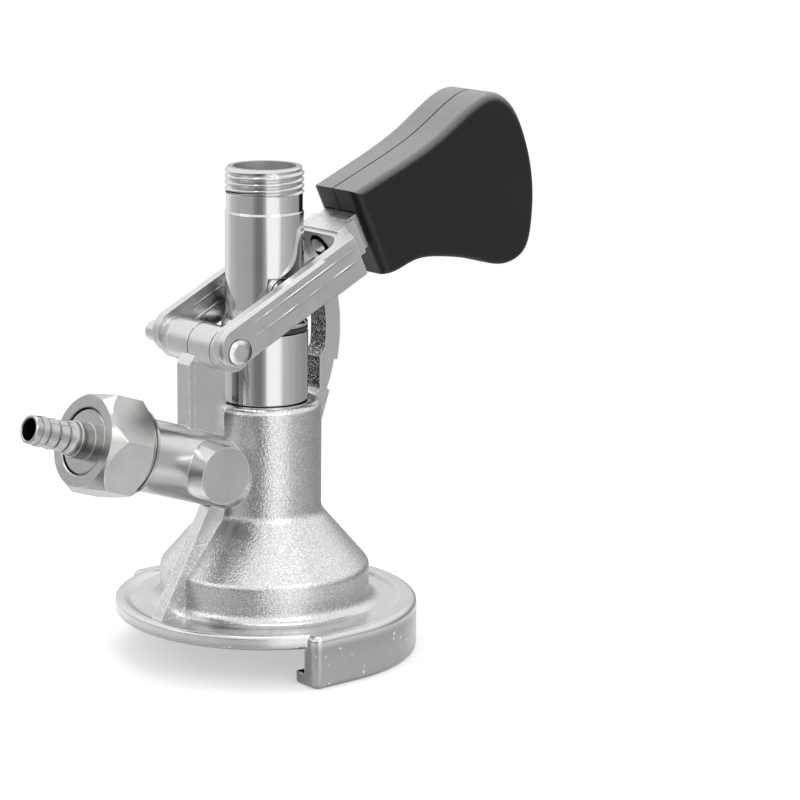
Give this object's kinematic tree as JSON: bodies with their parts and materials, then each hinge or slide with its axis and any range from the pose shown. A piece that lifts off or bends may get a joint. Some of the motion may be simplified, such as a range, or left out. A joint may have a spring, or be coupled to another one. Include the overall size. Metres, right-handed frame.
{
  "type": "keg coupler",
  "caption": "Lever-operated keg coupler: cast bell with a horseshoe clamp rail, sliding probe tube, forked lever with a latching black grip, and a barbed gas inlet.",
  "frame": {"origin": "on the probe's axis, at the underside of the clamp plate", "axes": "+Z along the probe towards the beer outlet, +X towards the lever's grip, -Y the coupler's front"},
  "size_m": [0.1791, 0.0896, 0.1587],
  "materials": {
    "cast_steel": "bead-blasted casting",
    "forged_steel": "satin forging with bright edges",
    "turned_steel": "fine turned and polished",
    "nut_steel": "satin turned",
    "spring_steel": "drawn wire",
    "seal_rubber": "matt moulded",
    "white_plastic": "natural moulded",
    "grip_plastic": "satin moulded",
    "brass_valve": "turned"
  },
  "bodies": {
    "coupler_body": {"body": "cast_steel", "body_seal": "seal_rubber", "neck_ring_seal": "seal_rubber", "neck_guide_ring": "white_plastic", "hinge_pin": "turned_steel", "union_nut": "nut_steel", "hose_tail": "nut_steel", "tail_washer": "white_plastic", "gas_valve_body": "brass_valve", "gas_valve_ring_seal": "seal_rubber", "gas_spring": "spring_steel"},
    "probe": {"probe_tube": "turned_steel", "probe_seal": "seal_rubber", "probe_stop_ring": "seal_rubber", "ball_cage": "white_plastic", "cage_retainer": "spring_steel"},
    "beer_ball": {"check_ball": "white_plastic"},
    "lever": {"lever_fork": "forged_steel", "latch_spring": "spring_steel"},
    "grip": {"latch_bolt": "turned_steel", "latch_cross_pin": "turned_steel", "grip_carrier": "cast_steel", "grip_shell_front": "grip_plastic", "grip_shell_back": "grip_plastic", "grip_screws": "spring_steel"},
    "gas_valve_poppet": {"gas_poppet": "brass_valve"}
  },
  "joints": [
    {"name": "lever_hinge", "type": "hinge", "parent": "coupler_body", "child": "lever", "pos_m": [-0.0216, 0, 0.0818], "axis": [0, 1, 0], "range_deg": [0, 47]},
    {"name": "probe_slide", "type": "slide", "parent": "coupler_body", "child": "probe", "axis": [0, 0, -1], "range_m": [0, 0.0198]},
    {"name": "ball_lift", "type": "slide", "parent": "probe", "child": "beer_ball", "axis": [0, 0, 1], "range_m": [0, 0.004]},
    {"name": "grip_pull", "type": "slide", "parent": "lever", "child": "grip", "axis": [0.9018, 0, 0.4321], "range_m": [-0.0014, 0.005], "stiffness_N_per_m": 900, "springref_m": -0.006, "deforming": ["latch_spring"]},
    {"name": "gas_valve_slide", "type": "slide", "parent": "coupler_body", "child": "gas_valve_poppet", "axis": [0.9483, 0, -0.3173], "range_m": [0, 0.0025], "stiffness_N_per_m": 150, "springref_m": -0.004, "deforming": ["gas_spring"]}
  ],
  "couplings": [
    {"joint": "probe_slide", "follows": "lever_hinge", "m_per_rad": 0.02403}
  ]
}
